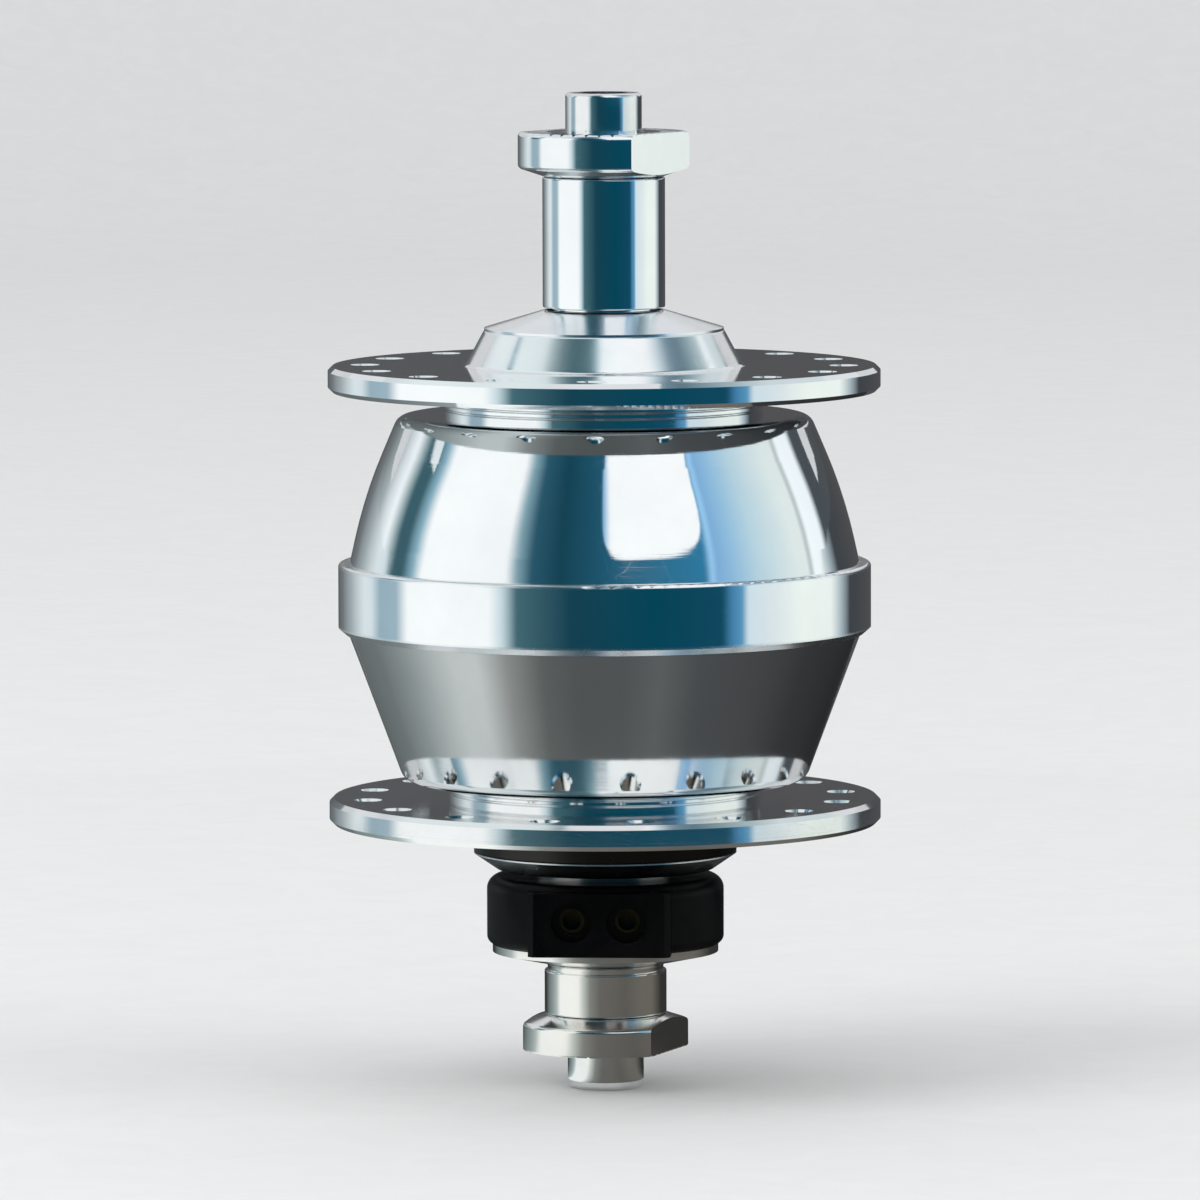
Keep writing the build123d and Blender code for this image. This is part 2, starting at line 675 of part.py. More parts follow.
# Left shell half: the left flange and the lower cone, with a spigot that screws up into the belt
with BuildPart() as hub_shell_left:
    seam_z = belt_bottom_z - seam_gap
    cavity_corner_z = shell_wall - left_shoulder_z
    turn(
        (left_bearing_outer_radius + press_gap, -left_boss_z),
        (left_boss_end_radius - boss_edge_bevel, -left_boss_z),
        (left_boss_end_radius, boss_edge_bevel - left_boss_z),
        (left_boss_root_radius, -left_flange_reach, boss_fillet),
        (flange_radius - flange_bevel, -left_flange_reach),
        (flange_radius, flange_bevel - left_flange_reach),
        (flange_radius, -left_flange_inner_z - flange_bevel),
        (flange_radius - flange_bevel, -left_flange_inner_z),
        (left_neck_radius, -left_flange_inner_z),
        (left_neck_radius, -left_shoulder_z),
        (left_barrel_end_radius, -left_shoulder_z, barrel_end_round),
        (belt_radius - belt_bottom_step, seam_z),
        (register_radius - slide_gap, seam_z),
        (register_radius - slide_gap, register_top_z - seam_gap),
        (rotor_radius + press_gap, register_top_z - seam_gap),
        (rotor_radius + press_gap, -rotor_half_length - slide_gap),
        (rotor_radius - rotor_stop_height, -rotor_half_length - slide_gap),
        (left_barrel_end_radius - cavity_corner_inset, cavity_corner_z),
        (left_neck_radius - shell_wall, cavity_corner_z - cavity_taper),
        (left_neck_radius - shell_wall, bearing_shoulder_width - bearing_inset),
        (left_bearing_outer_radius - bearing_shoulder_height, bearing_shoulder_width - bearing_inset),
        (left_bearing_outer_radius - bearing_shoulder_height, -bearing_inset),
        (left_bearing_outer_radius + press_gap, -bearing_inset),
    )
    cut_neck_grooves(left_neck_radius, -left_flange_inner_z, -left_shoulder_z, left_groove_count)
    ring(
        register_radius - 2 * o_ring_radius - 2 * press_gap,
        register_radius + overrun,
        o_ring_z - o_ring_radius - slide_gap,
        o_ring_z + o_ring_radius + slide_gap,
        mode=Mode.SUBTRACT,
    )
    cut_spoke_holes(-left_flange_reach, first_spoke_angle + 180.0 / spoke_hole_count)
    chamfer(hub_shell_left.edges(Select.LAST).filter_by(GeomType.CIRCLE), spoke_countersink)
hub_shell_left.part.label = "hub_shell_left"
export_step(hub_shell_left.part, "parts/hub_shell_left.step")

# Shell seal: a rubber ring in a groove of the spigot keeps water out of the joint
with BuildPart() as shell_o_ring:
    with Locations((0, 0, o_ring_z)):
        Torus(register_radius - o_ring_radius - press_gap, o_ring_radius)
shell_o_ring.part.label = "shell_o_ring"
export_step(shell_o_ring.part, "parts/shell_o_ring.step")

# Right dust cap: a shallow cone pressed over the right bearing, open for the spacer's nose
with BuildPart() as right_dust_cap:
    right_cap_bore = right_spacer_nose_radius + cap_gap
    right_plate_z = right_boss_z + cap_plate_offset
    right_skirt_radius = right_bearing_outer_radius - press_gap
    right_seal_seat = right_skirt_radius - cap_skirt_wall - right_seal_margin
    turn(
        (right_cap_bore, right_plate_z + dust_seal_height),
        (right_seal_seat, right_plate_z + dust_seal_height),
        (right_seal_seat, right_plate_z),
        (right_skirt_radius - cap_skirt_wall, right_plate_z),
        (right_skirt_radius - cap_skirt_wall, bearing_outer_z + slide_gap),
        (right_skirt_radius, bearing_outer_z + slide_gap),
        (right_skirt_radius, right_boss_z),
        (right_boss_end_radius - right_cap_rim_step, right_boss_z),
        (right_boss_end_radius - right_cap_rim_step, right_boss_z + right_cap_rim_height),
        (right_cap_bore + cap_lip_width, right_boss_z + right_cap_height),
        (right_cap_bore, right_boss_z + right_cap_height),
    )
right_dust_cap.part.label = "right_dust_cap"
export_step(right_dust_cap.part, "parts/right_dust_cap.step")

# Left dust cap: a steep cone pressed over the left bearing, open for the sleeve
with BuildPart() as left_dust_cap:
    left_cap_bore = left_sleeve_radius + cap_gap
    left_plate_z = -left_boss_z - cap_plate_offset
    left_skirt_radius = left_bearing_outer_radius - press_gap
    left_seal_seat = left_skirt_radius - cap_skirt_wall - left_seal_margin
    turn(
        (left_cap_bore, left_plate_z - dust_seal_height),
        (left_seal_seat, left_plate_z - dust_seal_height),
        (left_seal_seat, left_plate_z),
        (left_skirt_radius - cap_skirt_wall, left_plate_z),
        (left_skirt_radius - cap_skirt_wall, -bearing_outer_z - slide_gap),
        (left_skirt_radius, -bearing_outer_z - slide_gap),
        (left_skirt_radius, -left_boss_z),
        (left_boss_end_radius, -left_boss_z),
        (left_boss_end_radius, -left_boss_z - left_cap_rim_height),
        (left_boss_end_radius - left_cap_bevel, -left_boss_z - left_cap_height),
        (left_cap_bore, -left_boss_z - left_cap_height),
    )
left_dust_cap.part.label = "left_dust_cap"
export_step(left_dust_cap.part, "parts/left_dust_cap.step")

# Dust seals: rubber rings in the caps, their lips just clear of the spacer's nose and of the sleeve
dust_seals = (
    ("right", right_spacer_nose_radius, right_seal_seat, right_plate_z, dust_seal_height),
    ("left", left_sleeve_radius, left_seal_seat, left_plate_z, -dust_seal_height),
)
for side_name, shaft_radius, seat_radius, plate_z, seal_height in dust_seals:
    with BuildPart() as dust_seal:
        ring(
            shaft_radius + seal_gap,
            seat_radius - press_gap,
            plate_z,
            plate_z + seal_height,
        )
    dust_seal.part.label = f"{side_name}_dust_seal"
    export_step(dust_seal.part, f"parts/{side_name}_dust_seal.step")

# Rotor ring: steel, let into both shell halves, it closes the magnets' flux
with BuildPart() as rotor_ring:
    ring(magnet_radius, rotor_radius, -rotor_half_length, rotor_half_length)
rotor_ring.part.label = "rotor_ring"
export_step(rotor_ring.part, "parts/rotor_ring.step")

# Rotor magnets: a band of separate magnets bonded inside the ring, their poles alternate
with BuildPart() as rotor_magnets:
    magnet_end_z = rotor_half_length - magnet_end_gap
    with BuildSketch(Plane.XY.offset(-magnet_end_z)):
        Circle(magnet_radius - press_gap)
        Circle(magnet_radius - magnet_thickness, mode=Mode.SUBTRACT)
        with PolarLocations(magnet_radius - magnet_thickness / 2, magnet_count):
            Rectangle(magnet_thickness + overrun, magnet_gap, mode=Mode.SUBTRACT)
    extrude(amount=2 * magnet_end_z)
rotor_magnets.part.label = "rotor_magnets"
export_step(rotor_magnets.part, "parts/rotor_magnets.step")

# Bearings: inner ring, outer ring, balls, cage and two rubber seals on each side
bearings = (
    ("right", 1, right_bearing_bore_radius, right_bearing_outer_radius, right_ball_count),
    ("left", -1, left_bearing_bore_radius, left_bearing_outer_radius, left_ball_count),
)
for side_name, side_sign, bore_radius, outer_radius, ball_count in bearings:
    pitch_radius = (bore_radius + outer_radius) / 2
    ball_radius = ball_radius_share * min(bearing_width, outer_radius - bore_radius)
    inner_land = pitch_radius - land_share * ball_radius
    outer_land = pitch_radius + land_share * ball_radius
    cage_half_wall = cage_wall_share * ball_radius
    cage_half_height = ball_radius + pocket_gap + cage_rim
    middle_z = side_sign * bearing_middle_z
    low_z = middle_z - bearing_width / 2
    high_z = middle_z + bearing_width / 2

    with BuildPart() as inner_ring:
        turn(
            (bore_radius, low_z, bearing_edge_round),
            (inner_land, low_z),
            (inner_land, high_z),
            (bore_radius, high_z, bearing_edge_round),
        )
        with Locations((0, 0, middle_z)):
            Torus(pitch_radius, ball_radius + race_gap, mode=Mode.SUBTRACT)
    inner_ring.part.label = f"{side_name}_bearing_inner_ring"
    export_step(inner_ring.part, f"parts/{side_name}_bearing_inner_ring.step")

    with BuildPart() as outer_ring:
        turn(
            (outer_land, low_z + seal_seat_depth),
            (outer_land + bearing_seal_rim, low_z + seal_seat_depth),
            (outer_land + bearing_seal_rim, low_z),
            (outer_radius, low_z, bearing_edge_round),
            (outer_radius, high_z, bearing_edge_round),
            (outer_land + bearing_seal_rim, high_z),
            (outer_land + bearing_seal_rim, high_z - seal_seat_depth),
            (outer_land, high_z - seal_seat_depth),
        )
        with Locations((0, 0, middle_z)):
            Torus(pitch_radius, ball_radius + race_gap, mode=Mode.SUBTRACT)
    outer_ring.part.label = f"{side_name}_bearing_outer_ring"
    export_step(outer_ring.part, f"parts/{side_name}_bearing_outer_ring.step")

    with BuildPart() as bearing_balls:
        with Locations((0, 0, middle_z)):
            with PolarLocations(pitch_radius, ball_count):
                Sphere(ball_radius)
    bearing_balls.part.label = f"{side_name}_bearing_balls"
    export_step(bearing_balls.part, f"parts/{side_name}_bearing_balls.step")

    with BuildPart() as bearing_cage:
        ring(
            pitch_radius - cage_half_wall,
            pitch_radius + cage_half_wall,
            middle_z - cage_half_height,
            middle_z + cage_half_height,
        )
        with Locations((0, 0, middle_z)):
            with PolarLocations(pitch_radius, ball_count):
                Cylinder(
                    ball_radius + pocket_gap,
                    2 * cage_half_wall + overrun,
                    rotation=(0, 90, 0),
                    mode=Mode.SUBTRACT,
                )
    bearing_cage.part.label = f"{side_name}_bearing_cage"
    export_step(bearing_cage.part, f"parts/{side_name}_bearing_cage.step")

    with BuildPart() as bearing_seals:
        for face_z, inward in ((low_z, 1), (high_z, -1)):
            ring(
                inner_land + seal_gap,
                outer_land + bearing_seal_rim - press_gap,
                face_z + inward * slide_gap,
                face_z + inward * (slide_gap + bearing_seal_thickness),
            )
    bearing_seals.part.label = f"{side_name}_bearing_seals"
    export_step(bearing_seals.part, f"parts/{side_name}_bearing_seals.step")
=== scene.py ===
import bpy
import math
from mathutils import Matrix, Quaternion, Vector


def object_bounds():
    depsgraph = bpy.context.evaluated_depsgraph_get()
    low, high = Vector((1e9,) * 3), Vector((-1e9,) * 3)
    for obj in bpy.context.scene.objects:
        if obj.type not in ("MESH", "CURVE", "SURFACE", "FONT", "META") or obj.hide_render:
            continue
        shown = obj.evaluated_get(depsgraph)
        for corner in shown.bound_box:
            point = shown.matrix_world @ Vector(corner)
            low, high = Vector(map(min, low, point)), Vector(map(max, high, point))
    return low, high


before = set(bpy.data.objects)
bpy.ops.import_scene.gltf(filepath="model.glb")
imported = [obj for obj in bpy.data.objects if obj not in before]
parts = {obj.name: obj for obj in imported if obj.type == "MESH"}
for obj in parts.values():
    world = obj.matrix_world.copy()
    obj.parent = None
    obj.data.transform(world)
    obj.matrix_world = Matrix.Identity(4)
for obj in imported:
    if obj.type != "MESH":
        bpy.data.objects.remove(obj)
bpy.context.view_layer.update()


# ---- Camera ----
# A long lens looks at the hub from a little above the middle of its barrel,
# and from a little to the right of the connector's sockets.
camera_turn = math.radians(3.0)
camera_range = 1.185
camera_rise = 0.1066
camera_roll = math.radians(-0.14)
focal_length = 328.4
sideways_shift = -0.0039
aim = Vector((0.0, 0.0, -0.00095))
eye = Vector((camera_range * math.sin(camera_turn), -camera_range * math.cos(camera_turn), camera_rise))
lens = bpy.data.cameras.new("hub_camera")
lens.sensor_width = 36.0
lens.lens = focal_length
lens.shift_x = sideways_shift
lens.clip_start = 0.01
lens.clip_end = 60.0
camera = bpy.data.objects.new("hub_camera", lens)
camera.location = eye
camera.rotation_mode = "QUATERNION"
camera.rotation_quaternion = (aim - eye).to_track_quat("-Z", "Y") @ Quaternion((0, 0, 1), camera_roll)
bpy.context.scene.collection.objects.link(camera)
bpy.context.scene.camera = camera


# ---- Axle ----
# The axle is a hollow steel bar, turned, threaded where the locknuts go and
# bored through for the skewer. It carries everything else on the hub.
def new_material(name, colour, metallic, roughness):
    """Makes a material and gives back its node tree and its surface shader."""
    made = bpy.data.materials.new(name)
    made.use_nodes = True
    surface = made.node_tree.nodes["Principled BSDF"]
    surface.inputs["Base Color"].default_value = (*colour, 1.0)
    surface.inputs["Metallic"].default_value = metallic
    surface.inputs["Roughness"].default_value = roughness
    return made, made.node_tree, surface


def new_group(name, inputs, outputs):
    """Starts a shader group whose sockets are all plain numbers."""
    group = bpy.data.node_groups.new(name, "ShaderNodeTree")
    for label, value in inputs.items():
        socket = group.interface.new_socket(name=label, in_out="INPUT", socket_type="NodeSocketFloat")
        socket.default_value = value
    for label in outputs:
        group.interface.new_socket(name=label, in_out="OUTPUT", socket_type="NodeSocketFloat")
    return group, group.nodes.new("NodeGroupInput"), group.nodes.new("NodeGroupOutput")


def place_group(tree, group, **values):
    """Puts a shader group into a material with its own values."""
    node = tree.nodes.new("ShaderNodeGroup")
    node.node_tree = group
    for label, value in values.items():
        node.inputs[label.replace("_", " ")].default_value = value
    return node


def node_in(tree, kind, **settings):
    """Adds one node, with its settings given by name."""
    node = tree.nodes.new(kind)
    for label, value in settings.items():
        setattr(node, label, value)
    return node


def spread(tree, source, low, high, from_low=0.0, from_high=1.0):
    """Stretches a value that varies over the surface to a new range."""
    node = node_in(tree, "ShaderNodeMapRange", clamp=True)
    tree.links.new(source, node.inputs["Value"])
    node.inputs["From Min"].default_value = from_low
    node.inputs["From Max"].default_value = from_high
    node.inputs["To Min"].default_value = low
    node.inputs["To Max"].default_value = high
    return node.outputs["Result"]


def tint(tree, source, first, second, from_low=0.0, from_high=1.0):
    """Runs from one colour to another along a value that varies."""
    ramp = tree.nodes.new("ShaderNodeValToRGB")
    ramp.color_ramp.elements[0].position = from_low
    ramp.color_ramp.elements[0].color = (*first, 1.0)
    ramp.color_ramp.elements[1].position = from_high
    ramp.color_ramp.elements[1].color = (*second, 1.0)
    tree.links.new(source, ramp.inputs["Fac"])
    return ramp.outputs["Color"]


def colour_by(tree, surface, source, first, second, low=0.3, high=0.7):
    """Runs the base colour from one colour to another along a value that varies."""
    tree.links.new(tint(tree, source, first, second, low, high), surface.inputs["Base Color"])


def roughness_by(tree, surface, source, first, second, low=0.3, high=0.7):
    """Runs the roughness from one value to another along a value that varies."""
    tree.links.new(spread(tree, source, first, second, low, high), surface.inputs["Roughness"])


def raise_surface(tree, surface, height, strength, distance):
    """Lets a height roughen the surface through a bump."""
    bump = tree.nodes.new("ShaderNodeBump")
    bump.inputs["Strength"].default_value = strength
    bump.inputs["Distance"].default_value = distance
    tree.links.new(height, bump.inputs["Height"])
    tree.links.new(bump.outputs["Normal"], surface.inputs["Normal"])


def dress(material, *names, crease=28.0):
    """Gives CAD nodes their material and shades their rounds smoothly."""
    for name in names:
        mesh = parts[name].data
        mesh.materials.clear()
        mesh.materials.append(material)
        mesh.shade_smooth()
        mesh.set_sharp_from_angle(angle=math.radians(crease))


turning_lines, given, handed = new_group("turning_lines", {"Pitch": 9000.0, "Waver": 0.4}, ["Lines", "Bands"])
place = turning_lines.nodes.new("ShaderNodeTexCoord")
split = turning_lines.nodes.new("ShaderNodeSeparateXYZ")
turning_lines.links.new(place.outputs["Object"], split.inputs["Vector"])
across = turning_lines.nodes.new("ShaderNodeCombineXYZ")
turning_lines.links.new(split.outputs["X"], across.inputs["X"])
turning_lines.links.new(split.outputs["Y"], across.inputs["Y"])
radius = node_in(turning_lines, "ShaderNodeVectorMath", operation="LENGTH")
turning_lines.links.new(across.outputs["Vector"], radius.inputs[0])
around = turning_lines.nodes.new("ShaderNodeCombineXYZ")
turning_lines.links.new(radius.outputs["Value"], around.inputs["X"])
turning_lines.links.new(split.outputs["Z"], around.inputs["Y"])
drift = turning_lines.nodes.new("ShaderNodeTexNoise")
drift.inputs["Scale"].default_value = 60.0
turning_lines.links.new(place.outputs["Object"], drift.inputs["Vector"])
drift_size = node_in(turning_lines, "ShaderNodeMath", operation="MULTIPLY")
turning_lines.links.new(drift.outputs["Fac"], drift_size.inputs[0])
turning_lines.links.new(given.outputs["Waver"], drift_size.inputs[1])
stretched = node_in(turning_lines, "ShaderNodeVectorMath", operation="SCALE")
turning_lines.links.new(around.outputs["Vector"], stretched.inputs[0])
turning_lines.links.new(given.outputs["Pitch"], stretched.inputs["Scale"])
wavered = node_in(turning_lines, "ShaderNodeVectorMath", operation="ADD")
turning_lines.links.new(stretched.outputs["Vector"], wavered.inputs[0])
turning_lines.links.new(drift_size.outputs["Value"], wavered.inputs[1])
fine = node_in(turning_lines, "ShaderNodeTexNoise", noise_dimensions="2D")
fine.inputs["Scale"].default_value = 1.0
fine.inputs["Detail"].default_value = 3.0
turning_lines.links.new(wavered.outputs["Vector"], fine.inputs["Vector"])
turning_lines.links.new(fine.outputs["Fac"], handed.inputs["Lines"])
broad = node_in(turning_lines, "ShaderNodeTexNoise", noise_dimensions="2D")
broad.inputs["Scale"].default_value = 0.06
broad.inputs["Detail"].default_value = 1.0
turning_lines.links.new(wavered.outputs["Vector"], broad.inputs["Vector"])
turning_lines.links.new(broad.outputs["Fac"], handed.inputs["Bands"])

handling_marks, given, handed = new_group("handling_marks", {"Size": 90.0}, ["Smudges", "Hairlines"])
place = handling_marks.nodes.new("ShaderNodeTexCoord")
clouds = handling_marks.nodes.new("ShaderNodeTexNoise")
clouds.inputs["Detail"].default_value = 4.0
clouds.inputs["Roughness"].default_value = 0.6
handling_marks.links.new(place.outputs["Object"], clouds.inputs["Vector"])
handling_marks.links.new(given.outputs["Size"], clouds.inputs["Scale"])
handling_marks.links.new(clouds.outputs["Fac"], handed.inputs["Smudges"])
swirl = handling_marks.nodes.new("ShaderNodeTexNoise")
swirl.inputs["Scale"].default_value = 140.0
handling_marks.links.new(place.outputs["Object"], swirl.inputs["Vector"])
bent = node_in(handling_marks, "ShaderNodeVectorMath", operation="MULTIPLY_ADD")
handling_marks.links.new(swirl.outputs["Color"], bent.inputs[0])
bent.inputs[1].default_value = (0.006, 0.006, 0.006)
handling_marks.links.new(place.outputs["Object"], bent.inputs[2])
cells = node_in(handling_marks, "ShaderNodeTexVoronoi", feature="DISTANCE_TO_EDGE")
cells.inputs["Scale"].default_value = 260.0
handling_marks.links.new(bent.outputs["Vector"], cells.inputs["Vector"])
hair = node_in(handling_marks, "ShaderNodeMapRange", clamp=True)
handling_marks.links.new(cells.outputs["Distance"], hair.inputs["Value"])
hair.inputs["From Min"].default_value = 0.0
hair.inputs["From Max"].default_value = 0.012
hair.inputs["To Min"].default_value = 1.0
hair.inputs["To Max"].default_value = 0.0
handling_marks.links.new(hair.outputs["Result"], handed.inputs["Hairlines"])

axle_steel, tree, surface = new_material("axle_steel", (0.82, 0.83, 0.84), metallic=1.0, roughness=0.1)
lines = place_group(tree, turning_lines, Pitch=7000.0, Waver=0.5)
marks = place_group(tree, handling_marks, Size=220.0)
colour_by(tree, surface, marks.outputs["Smudges"], (0.76, 0.77, 0.77), (0.86, 0.88, 0.89))
roughness_by(tree, surface, marks.outputs["Smudges"], 0.07, 0.15)
raise_surface(tree, surface, lines.outputs["Lines"], strength=0.15, distance=0.00001)
dress(axle_steel, "axle")


# ---- Stator ----
# A soft-iron tube and two claw discs carry the flux round the winding. They
# are pressed and machined, left bare, keyed to the axle and held by snap rings.
stator_iron, tree, surface = new_material("stator_iron", (0.34, 0.33, 0.32), metallic=1.0, roughness=0.42)
lines = place_group(tree, turning_lines, Pitch=5000.0, Waver=0.8)
marks = place_group(tree, handling_marks, Size=160.0)
colour_by(tree, surface, marks.outputs["Smudges"], (0.24, 0.22, 0.20), (0.42, 0.41, 0.40))
roughness_by(tree, surface, lines.outputs["Bands"], 0.34, 0.52)
raise_surface(tree, surface, lines.outputs["Lines"], strength=0.4, distance=0.00003)
dress(stator_iron, "stator_core", "stator_claw_right", "stator_claw_left")

hardware_steel, tree, surface = new_material(
    "hardware_steel", (0.28, 0.28, 0.29), metallic=1.0, roughness=0.34,
)
marks = place_group(tree, handling_marks, Size=300.0)
colour_by(tree, surface, marks.outputs["Smudges"], (0.18, 0.18, 0.19), (0.36, 0.36, 0.37))
roughness_by(tree, surface, marks.outputs["Smudges"], 0.26, 0.42)
raise_surface(tree, surface, marks.outputs["Smudges"], strength=0.15, distance=0.00003)
dress(hardware_steel, "stator_key", "stator_circlips")


# ---- Coil ----
# Enamelled copper wire is wound in layers on a moulded nylon reel, and its
# two ends run out under the left bearing in thin red and black covers.
moulded_grain, given, handed = new_group("moulded_grain", {"Size": 2500.0}, ["Grain", "Flow"])
place = moulded_grain.nodes.new("ShaderNodeTexCoord")
grain = moulded_grain.nodes.new("ShaderNodeTexNoise")
grain.inputs["Detail"].default_value = 2.0
moulded_grain.links.new(place.outputs["Object"], grain.inputs["Vector"])
moulded_grain.links.new(given.outputs["Size"], grain.inputs["Scale"])
moulded_grain.links.new(grain.outputs["Fac"], handed.inputs["Grain"])
flow = moulded_grain.nodes.new("ShaderNodeTexNoise")
flow.inputs["Scale"].default_value = 120.0
flow.inputs["Distortion"].default_value = 1.2
moulded_grain.links.new(place.outputs["Object"], flow.inputs["Vector"])
moulded_grain.links.new(flow.outputs["Fac"], handed.inputs["Flow"])

reel_nylon, tree, surface = new_material("reel_nylon", (0.72, 0.68, 0.58), metallic=0.0, roughness=0.45)
grains = place_group(tree, moulded_grain, Size=1800.0)
colour_by(tree, surface, grains.outputs["Flow"], (0.64, 0.60, 0.50), (0.78, 0.74, 0.65))
roughness_by(tree, surface, grains.outputs["Grain"], 0.38, 0.52)
raise_surface(tree, surface, grains.outputs["Grain"], strength=0.2, distance=0.00002)
dress(reel_nylon, "coil_bobbin")

coil_copper, tree, surface = new_material("coil_copper", (0.72, 0.30, 0.12), metallic=1.0, roughness=0.28)
place = tree.nodes.new("ShaderNodeTexCoord")
turns = node_in(tree, "ShaderNodeTexWave", wave_type="BANDS", bands_direction="Z", wave_profile="SIN")
turns.inputs["Scale"].default_value = 320.0
turns.inputs["Distortion"].default_value = 0.6
turns.inputs["Detail Scale"].default_value = 2.0
tree.links.new(place.outputs["Object"], turns.inputs["Vector"])
# The copper is painted darker in the grooves between turns: painted shade.
colour_by(tree, surface, turns.outputs["Fac"], (0.34, 0.10, 0.03), (0.80, 0.36, 0.16), low=0.1, high=0.8)
roughness_by(tree, surface, turns.outputs["Fac"], 0.42, 0.22, low=0.0, high=1.0)
raise_surface(tree, surface, turns.outputs["Fac"], strength=0.8, distance=0.0002)
dress(coil_copper, "coil_winding")

lead_cover, tree, surface = new_material("lead_cover", (0.30, 0.03, 0.02), metallic=0.0, roughness=0.4)
grains = place_group(tree, moulded_grain, Size=1400.0)
place = tree.nodes.new("ShaderNodeTexCoord")
sides = tree.nodes.new("ShaderNodeSeparateXYZ")
tree.links.new(place.outputs["Object"], sides.inputs["Vector"])
side = spread(tree, sides.outputs["X"], 0.0, 1.0, from_low=-0.0002, from_high=0.0002)
colour_by(tree, surface, side, (0.02, 0.02, 0.02), (0.42, 0.03, 0.02), low=0.4, high=0.6)
roughness_by(tree, surface, grains.outputs["Flow"], 0.32, 0.48)
raise_surface(tree, surface, grains.outputs["Grain"], strength=0.15, distance=0.00002)
dress(lead_cover, "lead_wires")


# ---- Bearings ----
# Each bearing has two ground steel rings, polished balls in a pressed brass
# cage, and a rubber disc on each side. They are pressed on and greased.
ring_steel, tree, surface = new_material("ring_steel", (0.70, 0.71, 0.72), metallic=1.0, roughness=0.14)
lines = place_group(tree, turning_lines, Pitch=14000.0, Waver=0.2)
marks = place_group(tree, handling_marks, Size=260.0)
colour_by(tree, surface, marks.outputs["Smudges"], (0.62, 0.63, 0.64), (0.76, 0.77, 0.78))
roughness_by(tree, surface, lines.outputs["Bands"], 0.09, 0.20)
raise_surface(tree, surface, lines.outputs["Lines"], strength=0.15, distance=0.00001)
dress(
    ring_steel,
    "right_bearing_inner_ring", "right_bearing_outer_ring",
    "left_bearing_inner_ring", "left_bearing_outer_ring",
)

ball_steel, tree, surface = new_material("ball_steel", (0.76, 0.77, 0.78), metallic=1.0, roughness=0.06)
marks = place_group(tree, handling_marks, Size=700.0)
colour_by(tree, surface, marks.outputs["Smudges"], (0.70, 0.70, 0.69), (0.80, 0.81, 0.82))
roughness_by(tree, surface, marks.outputs["Smudges"], 0.03, 0.12, low=0.4, high=0.75)
dress(ball_steel, "right_bearing_balls", "left_bearing_balls", crease=60.0)

cage_brass, tree, surface = new_material("cage_brass", (0.72, 0.52, 0.22), metallic=1.0, roughness=0.3)
marks = place_group(tree, handling_marks, Size=320.0)
colour_by(tree, surface, marks.outputs["Smudges"], (0.60, 0.40, 0.15), (0.78, 0.58, 0.27))
roughness_by(tree, surface, marks.outputs["Smudges"], 0.22, 0.40)
raise_surface(tree, surface, marks.outputs["Smudges"], strength=0.2, distance=0.00002)
dress(cage_brass, "right_bearing_cage", "left_bearing_cage")

seal_rubber, tree, surface = new_material("seal_rubber", (0.022, 0.022, 0.024), metallic=0.0, roughness=0.55)
grains = place_group(tree, moulded_grain, Size=2200.0)
colour_by(tree, surface, grains.outputs["Flow"], (0.014, 0.014, 0.015), (0.034, 0.034, 0.036))
roughness_by(tree, surface, grains.outputs["Grain"], 0.46, 0.64)
raise_surface(tree, surface, grains.outputs["Grain"], strength=0.3, distance=0.00002)
dress(
    seal_rubber,
    "right_bearing_seals", "left_bearing_seals",
    "right_dust_seal", "left_dust_seal", "shell_o_ring",
)


# ---- Rotor ----
# A plain steel ring in the shell closes the flux behind 28 sintered ferrite
# magnets, which are ground on their inner face and glued in.
rotor_steel, tree, surface = new_material("rotor_steel", (0.40, 0.40, 0.40), metallic=1.0, roughness=0.36)
lines = place_group(tree, turning_lines, Pitch=6000.0, Waver=0.6)
marks = place_group(tree, handling_marks, Size=140.0)
colour_by(tree, surface, marks.outputs["Smudges"], (0.30, 0.29, 0.28), (0.48, 0.48, 0.48))
roughness_by(tree, surface, marks.outputs["Smudges"], 0.28, 0.46)
raise_surface(tree, surface, lines.outputs["Lines"], strength=0.3, distance=0.00002)
dress(rotor_steel, "rotor_ring")

magnet_ferrite, tree, surface = new_material(
    "magnet_ferrite", (0.06, 0.06, 0.065), metallic=0.3, roughness=0.5,
)
grains = place_group(tree, moulded_grain, Size=3200.0)
colour_by(tree, surface, grains.outputs["Grain"], (0.04, 0.04, 0.045), (0.09, 0.09, 0.095))
roughness_by(tree, surface, grains.outputs["Flow"], 0.42, 0.6)
raise_surface(tree, surface, grains.outputs["Grain"], strength=0.35, distance=0.00002)
dress(magnet_ferrite, "rotor_magnets")


# ---- Hub shell ----
# Two forged and turned aluminium halves screw together under the belt. The
# upper half is mirror polished, and the lower one is a little softer.
height_zone, given, handed = new_group("height_zone", {"Start": 0.0, "End": 0.001}, ["Mask"])
place = height_zone.nodes.new("ShaderNodeTexCoord")
split = height_zone.nodes.new("ShaderNodeSeparateXYZ")
height_zone.links.new(place.outputs["Object"], split.inputs["Vector"])
zone = node_in(height_zone, "ShaderNodeMapRange", clamp=True)
height_zone.links.new(split.outputs["Z"], zone.inputs["Value"])
height_zone.links.new(given.outputs["Start"], zone.inputs["From Min"])
height_zone.links.new(given.outputs["End"], zone.inputs["From Max"])
height_zone.links.new(zone.outputs["Result"], handed.inputs["Mask"])


def add_share(tree, value, share, base):
    """Adds a share of one varying value to another."""
    node = node_in(tree, "ShaderNodeMath", operation="MULTIPLY_ADD")
    tree.links.new(value, node.inputs[0])
    node.inputs[1].default_value = share
    tree.links.new(base, node.inputs[2])
    return node.outputs["Value"]


